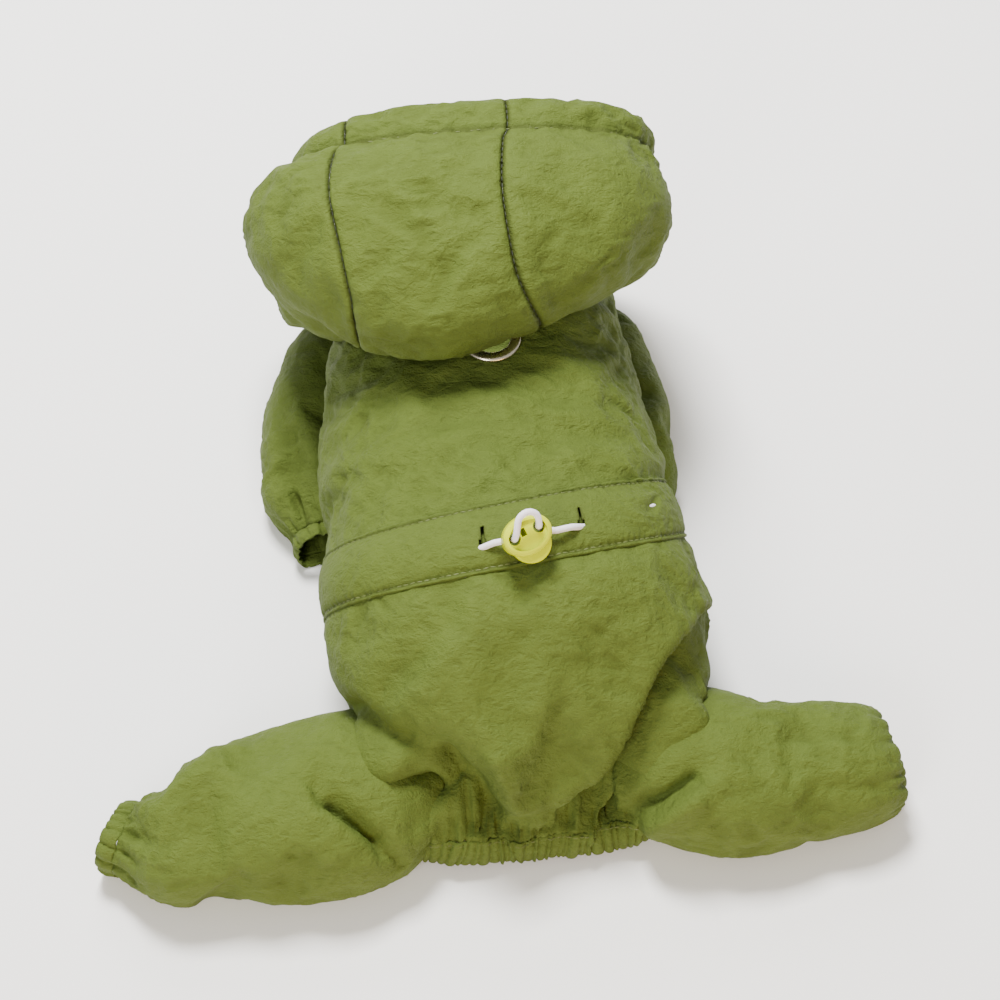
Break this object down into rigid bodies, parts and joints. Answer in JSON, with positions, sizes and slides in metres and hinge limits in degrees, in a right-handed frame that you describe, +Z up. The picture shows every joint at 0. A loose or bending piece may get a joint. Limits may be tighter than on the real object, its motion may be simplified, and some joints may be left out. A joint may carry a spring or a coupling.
{
  "type": "dog jumpsuit",
  "caption": "Hooded dog jumpsuit in thin crinkled nylon, lying on its belly with the hood laid back, elastic cuffs, a corded waist tunnel and a metal leash eyelet.",
  "frame": {"origin": "middle of the garment's footprint, on the surface it lies on", "axes": "+Y along the spine towards the hood, +X towards the garment's right sleeve, +Z up"},
  "size_m": [0.3257, 0.3222, 0.1584],
  "materials": {
    "nylon": "crinkled, satin",
    "yellow_plastic": "gloss",
    "white_elastic": "woven",
    "plated_steel": "polished"
  },
  "bodies": {
    "root": {"back_panel": "nylon", "belly_panel": "nylon", "waist_tunnel": "nylon", "rear_hem_casing": "nylon", "hood_centre": "nylon", "hood_left": "nylon", "hood_right": "nylon", "sleeve_left": "nylon", "sleeve_left_cuff": "nylon", "sleeve_right": "nylon", "sleeve_right_cuff": "nylon", "leg_left": "nylon", "leg_left_cuff": "nylon", "leg_right": "nylon", "leg_right_cuff": "nylon", "leash_eyelet": "plated_steel", "drawcord": "white_elastic", "cord_lock_body": "yellow_plastic", "cord_lock_button": "yellow_plastic"}
  },
  "joints": []
}
